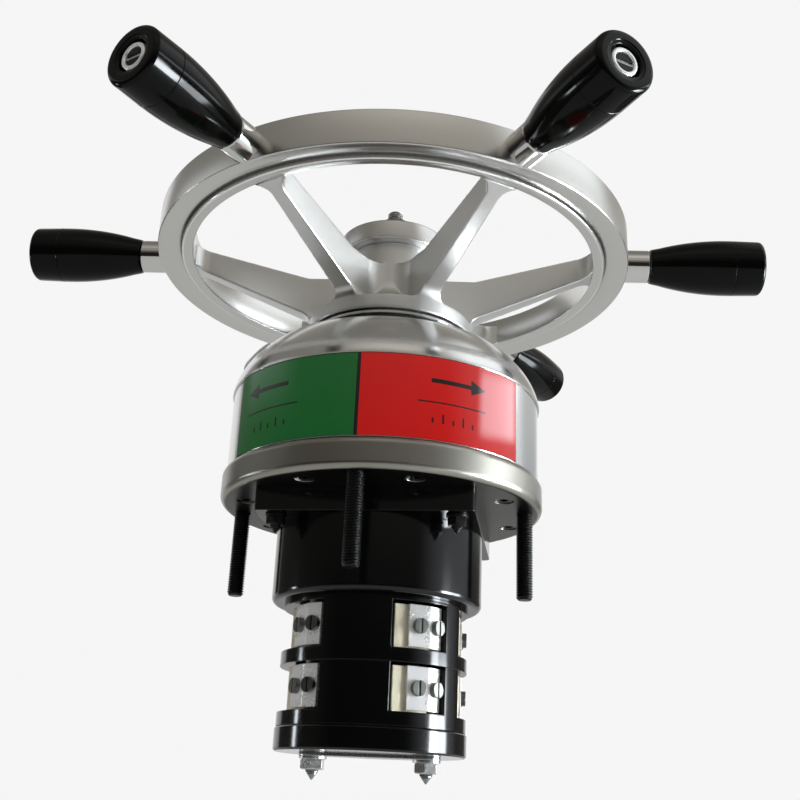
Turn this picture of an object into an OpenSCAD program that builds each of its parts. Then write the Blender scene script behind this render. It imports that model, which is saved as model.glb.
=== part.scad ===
// Console steering helm. A six-handled wheel turns a shaft in a domed housing above a panel.
// The shaft works a rotary switch that hangs below the panel, and a spring brings the wheel back.
// Z is the shaft, z = 0 is the face that meets the panel, and the front is towards -Y.

/* [Wheel] */
// Diameter over the rim
rim_d = 250; // [240:1:264]
// Radial width of the rim
rim_w = 18; // [16:0.5:20]
// Height of the rim
rim_h = 17.8; // [16.5:0.1:20]
// Radial width of the ledge along the inside of the rim
rim_ledge_w = 5.9; // [4:0.1:7]
// Depth of the ledge
rim_ledge_d = 0.6; // [0.3:0.1:1.2]
// Radial width of the slope between the ledge and the rim's flat face
rim_slope_w = 4.2; // [3:0.1:5]
// Depth of the slope beside the ledge
rim_groove_d = 1.6; // [1:0.1:2.4]
// Rounding of the rim's outer edges
rim_edge_r = 2.4; // [1:0.1:4]
// Height of the rim's middle above the hub's lower edge
rim_lift = 47.7; // [44:0.1:52]
// Width of a spoke at the hub
spoke_w = 10.4; // [9:0.1:11]
// Width of a spoke at the rim
spoke_rim_w = 6.8; // [6:0.1:9]
// Height of a spoke where it meets the rim
spoke_rim_h = 11.8; // [10.5:0.1:14]
// Height of a spoke where it meets the hub
spoke_hub_h = 22.5; // [20:0.1:24]
// Height of a spoke's underside above the hub's lower edge, at the hub
spoke_hub_lift = 11.6; // [10:0.1:13]
// Radius of the fillets where a spoke widens into the rim
spoke_fillet_r = 9; // [5:0.5:11]
// Radius of the fillets where a spoke stands on the skirt
spoke_foot_r = 5.6; // [4:0.1:7]
// Angle from the front mark to the wheel's middle gap
wheel_clock = 6; // [-20:1:20]

/* [Hub] */
// Diameter of the hub's skirt
hub_d = 86; // [80:1:92]
// Height of the skirt's upright wall
hub_skirt_h = 7.5; // [5:0.5:9]
// Wall of the skirt
hub_skirt_wall = 4; // [3:0.5:6]
// Thickness of the hub's skirt above its hollow
hub_roof_t = 3; // [2:0.5:4]
// Diameter of the neck
neck_d = 48; // [46:0.5:52]
// Height from the skirt's lower edge to the top of the neck
hub_h = 46.5; // [42:0.5:52]
// Diameter of the cap on the neck
hub_cap_d = 58; // [50:1:64]
// Height of the cap's rim
hub_cap_h = 11.2; // [8:0.1:15]
// Diameter of the cap's seat for the nut
cap_seat_d = 22; // [19:0.5:28]
// Height of the cap's seat for the nut
cap_seat_h = 5.8; // [3:0.1:9]

/* [Handles] */
// Length of a grip
grip_len = 59; // [54:1:66]
// Largest diameter of a grip
grip_d = 31.8; // [30:0.1:35]
// Diameter of a grip at its neck
grip_neck_d = 18; // [17:0.1:21]
// Distance from a grip's neck to its widest place
grip_belly = 39; // [34:0.5:42]
// Rounding at the outer end of a grip
grip_end_r = 7; // [5:0.1:8]
// Depth of the recess for the spindle head
grip_recess_h = 4.4; // [3.8:0.1:6]
// Diameter of a ferrule
ferrule_d = 17.6; // [16.5:0.1:19]
// Length of a ferrule
ferrule_len = 12.4; // [9:0.1:16]
// Diameter of a handle spindle
spindle_d = 8; // [7:0.1:9]
// Depth of a spindle's thread in the rim
spindle_thread = 13; // [10:0.5:14]
// Diameter of a spindle's head
spindle_head_d = 13; // [11:0.5:14.5]
// Thickness of a spindle's head
spindle_head_h = 3; // [2:0.1:3.4]

/* [Housing] */
// Diameter of the housing's upright wall
housing_d = 155; // [150:1:158]
// Thickness of the housing's wall
housing_wall = 4.5; // [3:0.5:6]
// Step of the housing above the label
dome_lip = 0.8; // [0.6:0.1:1.2]
// Thickness of the housing's roof
roof_t = 5; // [4:0.5:7]
// Height of the housing above the flange
dome_h = 65.5; // [60:0.5:72]
// Diameter of the flat top
dome_top_d = 123; // [114:1:126]
// Slope of the shoulder
dome_slope = 45; // [40:1:50]
// Rounding between the wall and the slope
dome_round_r = 10; // [6:0.5:14]
// Rounding of the edge of the flat top
dome_edge_r = 1.6; // [1:0.1:3]
// Height of the bearing boss under the roof
bearing_boss_h = 22; // [16:1:26]
// Wall of the bearing boss
bearing_boss_wall = 5; // [4:0.5:8]
// Radial width of the foot ring inside the wall
foot_ring_w = 13; // [11:0.5:15]
// Height of the foot ring
foot_ring_h = 10; // [7:0.5:14]
// Height of the seal ring on the flat top
seal_h = 11.1; // [8:0.1:13]
// Diameter of the seal ring
seal_d = 81; // [74:1:83]
// Radial width of the seal ring
seal_w = 7; // [4:0.5:9]
// Thickness of the seal's cover washer
seal_washer_h = 1.4; // [1:0.1:2]
// Running gap between the cover washer and the hub
hub_gap = 1; // [0.6:0.1:1.6]

/* [Flange] */
// Diameter of the mounting flange
flange_d = 159; // [158:0.5:170]
// Thickness of the mounting flange
flange_h = 15; // [14:0.5:18]
// Rounding of the flange's edges
flange_edge_r = 3.2; // [2:0.1:5]
// Diameter of a mounting stud
stud_d = 8; // [7:0.5:9]
// Diameter of the circle of mounting studs
stud_pcd = 142; // [139:0.5:144]
// Length of a stud below the flange
stud_len = 41.5; // [30:0.5:60]
// Depth of a stud in the flange
stud_seat = 11; // [8:0.5:12]
// Angle from a stud to the housing screws beside it
screw_offset = 22; // [18:1:28]
// Diameter of the circle of housing screws
screw_pcd = 134; // [130:0.5:136]
// Diameter of a housing screw
screw_d = 5; // [4:0.5:5]

/* [Label] */
// Height of the coloured label plates
label_h = 39; // [30:0.5:42]
// Thickness of the label plates
label_t = 0.5; // [0.3:0.1:0.8]
// Arc of the green plate
label_green_arc = 53; // [40:1:70]
// Arc of the red plate
label_red_arc = 61; // [40:1:70]
// Arc of the black strip between them
label_strip_arc = 1.2; // [0.6:0.1:3]

/* [Shaft] */
// Diameter of the steering shaft in its bushes
shaft_d = 16; // [14:0.5:18]
// Diameter of the shaft in the hub
shaft_hub_d = 14; // [12:0.5:14]
// Diameter of the shaft's threaded end
shaft_thread_d = 8; // [7:0.5:9]
// Length of thread that stands above the nut
thread_end = 6; // [3:0.5:9]
// Wall of the bushes
bush_wall = 3; // [2:0.5:4]
// Thickness of the bush collars
bush_collar_h = 2; // [1.5:0.1:3]
// Turn of the wheel to each side, in degrees
turn_limit = 45; // [30:1:50]
// Wire of the return spring
spring_wire = 3; // [2.4:0.1:3.4]
// Mean diameter of the return spring
spring_d = 32; // [30:0.5:34]
// Turns of the return spring
spring_turns = 4; // [3:1:5]
// Rise of the spring in one turn
spring_pitch = 4.4; // [4.2:0.1:5]

/* [Switch] */
// Side of the square base plate
plate_w = 102; // [100:1:104]
// Thickness of the base plate
plate_h = 11.3; // [9:0.1:14]
// Distance of a corner screw from each middle line
plate_screw_x = 42; // [41:0.5:44]
// Distance from the side of the base plate to the drum
drum_inset = 0.6; // [0.5:0.1:3]
// Height of the drum
drum_h = 35.5; // [32:0.5:42]
// Wall of the drum
drum_wall = 3.5; // [2.5:0.5:5]
// Diameter of the contact tiers
tier_d = 88; // [84:1:92]
// Height of the terminal windows
window_h = 20.8; // [19.5:0.1:25]
// Thickness of a tier's disc
tier_disc_h = 6.2; // [5:0.1:8]
// Height of the lid over the upper windows
tier_lid_h = 2.4; // [1.5:0.1:5]
// Diameter of the bottom cap
cap_d = 89; // [86:0.5:94]
// Height of the bottom cap
cap_h = 10.6; // [8:0.1:14]
// Distance between the tie rods
rod_span = 53; // [50:0.5:54]
// Diameter of a tie rod
rod_d = 6; // [5:0.5:6.5]
// Length of a tie rod below its nut
rod_tip = 4.4; // [3:0.1:8]
// Width of a terminal plate
terminal_w = 17; // [15:0.5:17.5]
// Bend of a terminal clamp's wing
wing_angle = 25; // [15:1:30]
// Side of the square switch spindle
square_w = 8; // [7:0.5:9]

/* [Clearances] */
// Gap between pieces that are fixed together
fit_gap = 0.03; // [0.02:0.01:0.05]
// Radial gap of a running fit
run_gap = 0.05; // [0.03:0.01:0.08]
// Gap between pieces that pass each other
pass_gap = 0.5; // [0.4:0.1:0.8]

/* [Hidden] */
$fn = 96;

handle_count = 6;
front = 270;
eps = 0.01;
over = 1;

// Heights, from the panel face up
dome_top = flange_h + dome_h;
seal_top = dome_top + seal_h;
hub_low = seal_top + seal_washer_h + hub_gap;
hub_top = hub_low + hub_h;
skirt_top = hub_low + hub_skirt_h;
cap_top = hub_top + hub_cap_h;
seat_top = cap_top + cap_seat_h;
rim_z = hub_low + rim_lift;
rim_low = rim_z - rim_h / 2;

// Nut and washer on the shaft's thread
nut_h = 0.8 * shaft_thread_d;
nut_flats = 1.625 * shaft_thread_d;
washer_h = 0.2 * shaft_thread_d;
washer_r = 1.05 * shaft_thread_d;
shaft_top = seat_top + washer_h + nut_h + thread_end;

// Radii of the wheel
rim_r = rim_d / 2;
rim_in = rim_r - rim_w;
hub_r = hub_d / 2;
hub_bore_r = shaft_hub_d / 2;
neck_r = neck_d / 2;
hub_land = 2.5;
cove_r = hub_r - hub_land - neck_r;
hub_hollow_h = hub_skirt_h - hub_roof_t;
hub_foot_h = 3;
spindle_r = spindle_d / 2;

// Ends of a spoke, which runs on into the rim and the hub
spoke_root = 3;
spoke_step = 1.5;
spoke_start = hub_bore_r + spoke_root;
spoke_half = spoke_w / 2;
spoke_rim_half = spoke_rim_w / 2;
spoke_rim_x = rim_in + spoke_root;
spoke_hub_x = hub_r + 2;
spoke_rim_low = rim_low + rim_ledge_d + spoke_step;
spoke_hub_low = hub_low + spoke_hub_lift;
spoke_rim_top = spoke_rim_low + spoke_rim_h;
spoke_hub_top = spoke_hub_low + spoke_hub_h;
spoke_slope = atan((spoke_rim_low - spoke_hub_low) / (spoke_rim_x - hub_r));

// The underside bends down to the skirt in an arc, and fillets stand beside it
toe_r = (spoke_hub_low - skirt_top) * tan(45 + spoke_slope / 2);
toe_from = 176;
foot_sink = 0.15;

// The inner end of a gap between spokes is one round, tangent to both of them and to the neck
gap_turn = 180 / handle_count;
gap_sink = 0.1;
gap_bite = 0.3;
gap_r = ((neck_r - gap_bite) * sin(gap_turn) - spoke_half + gap_sink) / (1 - sin(gap_turn));
gap_x = neck_r - gap_bite + gap_r;
gap_tangent = gap_x * cos(gap_turn);

// Places along a handle
grip_start = rim_r + ferrule_len + pass_gap;
grip_end = grip_start + grip_len;
recess_floor = grip_end - grip_recess_h;
head_low = recess_floor + pass_gap;

// Housing, label and bearings
housing_r = housing_d / 2;
lip_r = housing_r + dome_lip;
label_edge = 0.3;
label_low = flange_h + label_edge;
lip_low = label_low + label_h + label_edge;
stud_root_r = 0.42 * stud_d;
shaft_r = shaft_d / 2;
bush_r = shaft_r + bush_wall;
collar_r = bush_r + 4;
bearing_low = dome_top - bearing_boss_h;
shaft_collar_low = dome_top + bush_collar_h + pass_gap;
shaft_collar_r = shaft_r + 2.5;
hub_seat = hub_low + hub_foot_h;
thread_low = hub_top - 3;
lower_bush_low = 0.6;

// Screws of the housing and of the switch
screw_head_r = 0.85 * screw_d;
screw_head_h = screw_d;
screw_sink = screw_head_h + 0.5;
screw_cover = 1.5;
plate_screw_d = 5;
plate_screw_seat = 8;
plate_screw_tip = 1;
plate_nut_h = 4;
plate_nut_flats = 8;
plate_washer_h = 1;

// Key between the shaft and the hub
key_w = 0.36 * shaft_hub_d;
key_low = hub_seat + 8;
key_len = 20;

// Circlip, coupling and switch spindle, from the panel face down
circlip_h = 1.2;
circlip_w = 3;
circlip_groove = 0.9;
circlip_top = lower_bush_low - 0.3;
tongue_top = circlip_top - circlip_h - 1.2;
tongue_h = 8;
tongue_w = 6;
coupling_r = shaft_r + 5;
coupling_top = tongue_top - pass_gap;
coupling_h = 21;
coupling_low = coupling_top - coupling_h;
square_top = tongue_top - tongue_h - 2;

// Centring gear
finger_r = 3.5;
pin_seat = 6;
finger_orbit = spring_d / 2 + spring_wire / 2 + finger_r + 3;
post_orbit = finger_orbit + 2 * finger_r + 3;
spring_low = flange_h + bush_collar_h + spring_wire / 2 + 2;
spring_top = spring_low + spring_turns * spring_pitch;
leg_x = finger_r + spring_wire / 2 + 0.1;
leg_end = post_orbit + finger_r + 3;
arm_low = spring_top + spring_wire / 2 + 1.5;
arm_h = 9;
stop_angle = turn_limit + 2 * asin(finger_r / finger_orbit) + 1;

// The spring's line: a leg, the coil and the other leg. Both legs point to the front.
spring_r = spring_d / 2;
leg_turn = asin(leg_x / spring_r);
coil_steps = 12;
coil_from = front + leg_turn;
coil_sweep = 360 * spring_turns - 2 * leg_turn;
coil_count = ceil(coil_sweep / 360 * coil_steps);
leg_bend = spring_r + 2.6;
spring_line = concat(
    [[leg_x, -leg_end, spring_low], [leg_x, -leg_bend, spring_low]],
    [for (i = [0:coil_count]) let (a = coil_from + coil_sweep * i / coil_count)
        [spring_r * cos(a), spring_r * sin(a), spring_low + (spring_top - spring_low) * i / coil_count]],
    [[-leg_x, -leg_bend, spring_top], [-leg_x, -leg_end, spring_top]]
);

// Least gap between turns of the spring, measured on its points
spring_gap = min([for (i = [0:len(spring_line) - 1], j = [i + 6:1:len(spring_line) - 1])
    norm(spring_line[i] - spring_line[j])]) - spring_wire;
echo(spring_gap = spring_gap);

// Heights of the switch, from the panel face down
drum_top = -plate_h;
drum_low = drum_top - drum_h;
tier_top = drum_low - tier_lid_h;
tier_h = window_h + tier_disc_h;
cap_high = tier_top - 2 * tier_h;
cap_low = cap_high - cap_h;
strap_h = 1.2;
rod_washer_h = 1.2;
rod_nut_h = 0.8 * rod_d;
rod_nut_flats = 1.67 * rod_d;
rod_low = cap_low - strap_h - rod_washer_h - rod_nut_h - rod_tip;
rod_point = 0.62 * rod_d;
rod_cover = 3;

// Contact tiers
drum_r = plate_w / 2 - drum_inset;
tier_r = tier_d / 2;
core_r = rod_span / 2 + rod_d / 2 + 2.5;
chamber_r = rod_span / 2 - rod_d / 2 - 2.5;
journal_r = 0.75 * square_w;
cap_journal_r = square_w / 2;
pillar_wide = 42;
wide_at = -2;
pillar_narrow = 14;
narrow_at = 63.5;
chamber_lid = 1.5;
terminal_at = [33.5, 98, 213.5, 310.5];
terminal_t = 1.5;
terminal_x = core_r + 6.4;
terminal_h = window_h - 1.2;
tongue_half = 4;
clamp_w = 0.62 * terminal_w;
clamp_h = 0.9 * window_h;
clamp_y = terminal_w / 2 - clamp_w / 2;
wing_w = 7.2;
terminal_screw_r = 1.5;
terminal_screw_in = terminal_x - core_r + 4;
terminal_head_r = 3.4;
terminal_head_h = 2.4;

// Outlines

module rounded_rect(w, h, r) {
    translate([r, 0]) square([w - 2 * r, h]);
    translate([0, r]) square([w, h - 2 * r]);
    for (x = [r, w - r], y = [r, h - r])
        translate([x, y]) circle(r);
}

module ring(r_out, r_in, z, h) {
    translate([0, 0, z]) difference() {
        cylinder(r = r_out, h = h);
        translate([0, 0, -over]) cylinder(r = r_in, h = h + 2 * over);
    }
}

module around(count, start = 0) {
    for (i = [0:count - 1])
        rotate([0, 0, start + i * 360 / count]) children();
}

module hex_nut(flats, bore_r, z, h) {
    translate([0, 0, z]) difference() {
        cylinder(d = flats / cos(30), h = h, $fn = 6);
        translate([0, 0, -over]) cylinder(r = bore_r + fit_gap, h = h + 2 * over);
    }
}

function arc_points(x, y, r, from, to, n) =
    [for (i = [0:n]) let (a = from + (to - from) * i / n) [x + r * cos(a), y + r * sin(a)]];

// Wheel

// What the ledge and the slope beside it take from the rim's lower face, or from its upper face with way -1
module rim_step(base, way) {
    slope_end = rim_ledge_w + rim_slope_w * (1 + over / rim_groove_d);
    polygon([
        [-over, base - way * over], [slope_end, base - way * over], [rim_ledge_w, base + way * rim_groove_d],
        [rim_ledge_w, base + way * rim_ledge_d], [-over, base + way * rim_ledge_d]
    ]);
}

module rim_section() {
    translate([rim_in, rim_low]) difference() {
        rounded_rect(rim_w, rim_h, rim_edge_r);
        rim_step(0, 1);
        rim_step(rim_h, -1);
    }
}

module hub_section() {
    difference() {
        union() {
            translate([0, hub_low]) square([hub_r, hub_skirt_h]);
            translate([0, skirt_top - eps]) square([neck_r, hub_top - skirt_top + eps]);
            translate([0, skirt_top - eps]) difference() {
                square([hub_r - hub_land, cove_r + eps]);
                translate([hub_r - hub_land, cove_r + eps]) circle(cove_r);
            }
        }
        translate([neck_r, hub_low - over])
            square([hub_r - hub_skirt_wall - neck_r, hub_hollow_h + over]);
        translate([-over, hub_low - over]) square([neck_r + over + eps, hub_foot_h + over]);
        translate([-over, hub_low - over]) square([hub_bore_r + fit_gap + over, hub_h + 2 * over]);
    }
}

// Side view of a spoke, with x along the radius and y up
module spoke_side() {
    polygon(concat(
        [[spoke_start, skirt_top - over], [hub_r - over, skirt_top - over]],
        arc_points(hub_r + toe_r, skirt_top, toe_r, toe_from, 90 + spoke_slope, 5),
        [[spoke_rim_x, spoke_rim_low], [spoke_rim_x, spoke_rim_top]],
        [[spoke_hub_x, spoke_hub_top], [spoke_start, spoke_hub_top]]
    ));
}

// Top view of one spoke, which narrows outward and widens again into the rim
module spoke_plan() {
    r = spoke_fillet_r;
    polygon([
        [spoke_start, -spoke_half], [gap_tangent, -spoke_half], [spoke_rim_x, -spoke_rim_half],
        [spoke_rim_x, spoke_rim_half], [gap_tangent, spoke_half], [spoke_start, spoke_half]
    ]);
    difference() {
        translate([rim_in - r, -spoke_rim_half - r]) square([r + spoke_root, spoke_rim_w + 2 * r]);
        for (side = [-1, 1]) translate([rim_in - r, side * (spoke_rim_half + r)]) circle(r);
    }
}

// Top view of what fills the inner ends of the gaps between the spokes
module gap_ends() {
    difference() {
        circle(gap_tangent);
        around(handle_count, wheel_clock + gap_turn) translate([gap_x, 0]) circle(gap_r);
    }
}

// The fillets on which a spoke stands on the skirt, as one bar along the radius
module spoke_foot() {
    r = spoke_foot_r;
    rotate([90, 0, 90]) linear_extrude(hub_r + toe_r) difference() {
        translate([-spoke_half - r, skirt_top - over]) square([spoke_w + 2 * r, r + over]);
        for (side = [-1, 1]) translate([side * (spoke_half + r), skirt_top + r - foot_sink]) circle(r);
    }
}

module spokes() {
    intersection() {
        rotate_extrude() spoke_side();
        union() {
            translate([0, 0, hub_low]) linear_extrude(hub_h + rim_h) {
                around(handle_count, wheel_clock) spoke_plan();
                gap_ends();
            }
            around(handle_count, wheel_clock) spoke_foot();
        }
    }
}

// The keyway is open below, so that the hub slides down over the key
module keyway() {
    translate([0, -key_w / 2 - fit_gap, hub_low])
        cube([hub_bore_r + key_w / 2 + fit_gap, key_w + 2 * fit_gap, key_low + key_len + fit_gap - hub_low]);
}

module wheel() {
    color("gainsboro") difference() {
        union() {
            rotate_extrude() rim_section();
            rotate_extrude() hub_section();
            spokes();
        }
        translate([0, 0, hub_low - over]) cylinder(r = hub_bore_r + fit_gap, h = hub_h + 2 * over);
        keyway();
        around(handle_count, wheel_clock)
            translate([rim_r - spindle_thread - fit_gap, 0, rim_z]) rotate([0, 90, 0])
                cylinder(r = spindle_r + fit_gap, h = spindle_thread + over);
    }
}

// Hub fittings

module hub_cap() {
    edge = 1.2;
    color("lightgray") rotate_extrude() polygon([
        [shaft_thread_d / 2 + fit_gap, hub_top], [hub_cap_d / 2 - edge, hub_top],
        [hub_cap_d / 2, hub_top + edge], [hub_cap_d / 2, cap_top - edge],
        [hub_cap_d / 2 - edge, cap_top], [cap_seat_d / 2, cap_top],
        [cap_seat_d / 2, seat_top], [shaft_thread_d / 2 + fit_gap, seat_top]
    ]);
}

module hub_washer() {
    color("silver") ring(washer_r, shaft_thread_d / 2 + fit_gap, seat_top, washer_h);
}

module hub_nut() {
    color("dimgray") hex_nut(nut_flats, shaft_thread_d / 2, seat_top + washer_h, nut_h);
}

module steering_shaft() {
    chamfer = 1;
    groove_r = shaft_r - circlip_groove;
    color("silver") difference() {
        union() {
            rotate_extrude() polygon([
                [0, tongue_top], [shaft_r, tongue_top],
                [shaft_r, circlip_top - circlip_h - fit_gap], [groove_r, circlip_top - circlip_h - fit_gap],
                [groove_r, circlip_top + fit_gap], [shaft_r, circlip_top + fit_gap],
                [shaft_r, shaft_collar_low], [shaft_collar_r, shaft_collar_low],
                [shaft_collar_r, hub_seat], [hub_bore_r, hub_seat], [hub_bore_r, thread_low],
                [shaft_thread_d / 2, thread_low], [shaft_thread_d / 2, shaft_top - chamfer],
                [shaft_thread_d / 2 - chamfer, shaft_top], [0, shaft_top]
            ]);
            intersection() {
                translate([-shaft_r, -tongue_w / 2, tongue_top - tongue_h])
                    cube([2 * shaft_r, tongue_w, tongue_h + eps]);
                translate([0, 0, tongue_top - tongue_h]) cylinder(r = shaft_r, h = tongue_h + eps);
            }
        }
        translate([hub_bore_r - key_w / 2 - fit_gap, -key_w / 2 - fit_gap, key_low - fit_gap])
            cube([key_w, key_w + 2 * fit_gap, key_len + 2 * fit_gap]);
    }
}

module shaft_key() {
    color("gray") translate([hub_bore_r - key_w / 2, -key_w / 2, key_low]) cube([key_w, key_w, key_len]);
}

// Handles

// Places a piece along a handle, with its own Z running outward
module on_handle(index) {
    rotate([0, 0, wheel_clock + index * 360 / handle_count])
        translate([0, 0, rim_z]) rotate([0, 90, 0]) children();
}

// A ferrule's inner end follows the rim
module handle_ferrules() {
    edge = 0.6;
    start = rim_r - rim_edge_r;
    color("silver") for (i = [0:handle_count - 1]) difference() {
        on_handle(i) rotate_extrude() polygon([
            [spindle_r + fit_gap, start], [ferrule_d / 2, start],
            [ferrule_d / 2, rim_r + ferrule_len - edge], [ferrule_d / 2 - edge, rim_r + ferrule_len],
            [spindle_r + fit_gap, rim_r + ferrule_len]
        ]);
        rotate_extrude() translate([rim_in, rim_low - fit_gap])
            rounded_rect(rim_w + fit_gap, rim_h + 2 * fit_gap, rim_edge_r + fit_gap);
    }
}

module handle_spindles() {
    slot_w = 1.8;
    slot_d = 1.4;
    edge = 0.8;
    head_top = head_low + spindle_head_h;
    color("silver") for (i = [0:handle_count - 1]) on_handle(i) difference() {
        rotate_extrude() polygon([
            [0, rim_r - spindle_thread], [spindle_r, rim_r - spindle_thread], [spindle_r, head_low],
            [spindle_head_d / 2, head_low], [spindle_head_d / 2, head_top - edge],
            [spindle_head_d / 2 - edge, head_top], [0, head_top]
        ]);
        translate([-spindle_head_d, -slot_w / 2, head_top - slot_d])
            cube([2 * spindle_head_d, slot_w, slot_d + over]);
    }
}

// A turned grip: a short flare at the neck, a long belly and a rounded end with a recess
module grip(index) {
    small_r = grip_neck_d / 2;
    belly_r = grip_d / 2;
    flare_run = 5;
    flare_rise = 1.4;
    rise = belly_r - small_r - flare_rise;
    reach = grip_belly - flare_run;
    belly_arc_r = (reach * reach + rise * rise) / (2 * rise);
    belly_from = 90 + asin(reach / belly_arc_r);
    recess_r = spindle_head_d / 2 + 1;
    bore_r = spindle_r + run_gap;
    belly = arc_points(grip_belly, belly_r - belly_arc_r, belly_arc_r, belly_from, 90, 10);
    end = arc_points(grip_len - grip_end_r, belly_r - grip_end_r, grip_end_r, 90, 0, 7);
    outline = concat(
        [[bore_r, 0], [small_r, 0], [small_r + flare_rise / 2, flare_rise]],
        [for (p = concat(belly, end)) [p[1], p[0]]],
        [[recess_r, grip_len], [recess_r, grip_len - grip_recess_h], [bore_r, grip_len - grip_recess_h]]
    );
    color("black") on_handle(index) translate([0, 0, grip_start]) rotate_extrude() polygon(outline);
}

// Housing

module dome_section() {
    top_r = dome_top_d / 2;
    bend_x = lip_r - dome_round_r * (1 - cos(dome_slope));
    bend_low = dome_top - (bend_x - top_r) * tan(dome_slope) - dome_round_r * sin(dome_slope);
    edge_run = dome_edge_r * tan(dome_slope / 2);
    edge = arc_points(top_r - edge_run, dome_top - dome_edge_r, dome_edge_r, 90 - dome_slope, 90, 4);
    difference() {
        polygon(concat(
            [[shaft_r, flange_h], [housing_r, flange_h], [housing_r, lip_low], [lip_r, lip_low]],
            arc_points(lip_r - dome_round_r, bend_low, dome_round_r, 0, dome_slope, 8),
            edge,
            [[shaft_r, dome_top]]
        ));
        polygon([
            [-over, flange_h + foot_ring_h], [housing_r - housing_wall, flange_h + foot_ring_h],
            [housing_r - housing_wall, bend_low],
            [top_r - roof_t * tan(dome_slope / 2) - housing_wall / 2, dome_top - roof_t],
            [bush_r + bearing_boss_wall, dome_top - roof_t], [bush_r + bearing_boss_wall, bearing_low],
            [-over, bearing_low]
        ]);
        translate([-over, flange_h - over])
            square([housing_r - foot_ring_w - housing_wall + over, foot_ring_h + 2 * over]);
        translate([-over, bearing_low - over]) square([bush_r + fit_gap + over, bearing_boss_h + 2 * over]);
    }
}

// Housing screws stand in pairs beside the studs
module at_screws() {
    for (i = [0:3], side = [-1, 1])
        rotate([0, 0, front + i * 90 + side * screw_offset]) translate([screw_pcd / 2, 0, 0]) children();
}

module dome_housing() {
    color("darkgray") difference() {
        rotate_extrude() dome_section();
        at_screws() translate([0, 0, flange_h - over])
            cylinder(d = screw_d + 2 * fit_gap, h = foot_ring_h - screw_cover + over);
    }
}

module shaft_seal() {
    color("black") ring(seal_d / 2, seal_d / 2 - seal_w, dome_top, seal_h);
}

module seal_washer() {
    lip = 1.2;
    color("gray") ring(seal_d / 2 + lip, seal_d / 2 - seal_w, seal_top, seal_washer_h);
}

module label_plate(from, arc) {
    rotate([0, 0, from]) rotate_extrude(angle = arc)
        translate([housing_r + fit_gap, label_low]) square([label_t, label_h]);
}

module label_green() {
    arc = label_green_arc - label_strip_arc / 2;
    color("darkgreen") label_plate(front - label_green_arc, arc);
}

module label_red() {
    arc = label_red_arc - label_strip_arc / 2;
    color("red") label_plate(front + label_strip_arc / 2, arc);
}

module label_strip() {
    color("black") label_plate(front - label_strip_arc / 2, label_strip_arc);
}

// Mounting flange

module at_studs() {
    around(4, front) translate([stud_pcd / 2, 0, 0]) children();
}

module at_plate_screws() {
    for (x = [-1, 1], y = [-1, 1]) translate([x * plate_screw_x, y * plate_screw_x, 0]) children();
}

// Places for the spring's post and for the stop pins, which stand in the flange
module at_post() {
    rotate([0, 0, front]) translate([post_orbit, 0, flange_h - pin_seat]) children();
}

module at_stops() {
    for (side = [-1, 1]) rotate([0, 0, front + side * stop_angle])
        translate([finger_orbit, 0, flange_h - pin_seat]) children();
}

module mounting_flange() {
    flange_r = flange_d / 2;
    color("darkgray") difference() {
        rotate_extrude() difference() {
            union() {
                square([flange_r - flange_edge_r, flange_h]);
                translate([0, flange_edge_r]) square([flange_r, flange_h - 2 * flange_edge_r]);
                for (z = [flange_edge_r, flange_h - flange_edge_r])
                    translate([flange_r - flange_edge_r, z]) circle(flange_edge_r);
            }
            translate([-over, -over]) square([bush_r + fit_gap + over, flange_h + 2 * over]);
        }
        at_studs() translate([0, 0, -over])
            cylinder(r = stud_root_r + fit_gap, h = stud_seat + fit_gap + over);
        at_screws() {
            translate([0, 0, -over]) cylinder(d = screw_d + 2 * fit_gap, h = flange_h + 2 * over);
            translate([0, 0, -over]) cylinder(r = screw_head_r + 0.5, h = screw_sink + over);
        }
        at_plate_screws() translate([0, 0, -over])
            cylinder(d = plate_screw_d + 2 * fit_gap, h = plate_screw_seat + fit_gap + over);
        at_post() cylinder(r = finger_r + fit_gap, h = pin_seat + over);
        at_stops() cylinder(r = finger_r + fit_gap, h = pin_seat + over);
    }
}

// A stud's root is screwed into the flange up to its shoulder
module mounting_studs() {
    chamfer = 1;
    color("black") at_studs() rotate_extrude() polygon([
        [0, stud_seat], [stud_root_r, stud_seat], [stud_root_r, 0], [stud_d / 2, 0],
        [stud_d / 2, chamfer - stud_len], [stud_d / 2 - chamfer, -stud_len], [0, -stud_len]
    ]);
}

module housing_screws() {
    thread_top = flange_h + foot_ring_h - 2 * screw_cover;
    key_r = 0.45 * screw_d;
    key_d = 2.5;
    color("dimgray") at_screws() difference() {
        union() {
            translate([0, 0, screw_sink - screw_head_h]) cylinder(r = screw_head_r, h = screw_head_h);
            translate([0, 0, screw_sink - eps]) cylinder(d = screw_d, h = thread_top - screw_sink);
        }
        translate([0, 0, -over]) cylinder(r = key_r, h = screw_sink - screw_head_h + key_d + over, $fn = 6);
    }
}

// Bearings

module upper_bush() {
    color("goldenrod") difference() {
        union() {
            translate([0, 0, bearing_low]) cylinder(r = bush_r, h = bearing_boss_h + eps);
            translate([0, 0, dome_top]) cylinder(r = collar_r, h = bush_collar_h);
        }
        translate([0, 0, bearing_low - over])
            cylinder(r = shaft_r + run_gap, h = bearing_boss_h + bush_collar_h + 2 * over);
    }
}

module lower_bush() {
    color("goldenrod") difference() {
        union() {
            translate([0, 0, lower_bush_low]) cylinder(r = bush_r, h = flange_h - lower_bush_low + eps);
            translate([0, 0, flange_h]) cylinder(r = collar_r, h = bush_collar_h);
        }
        translate([0, 0, -over]) cylinder(r = shaft_r + run_gap, h = flange_h + bush_collar_h + 2 * over);
    }
}

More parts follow.
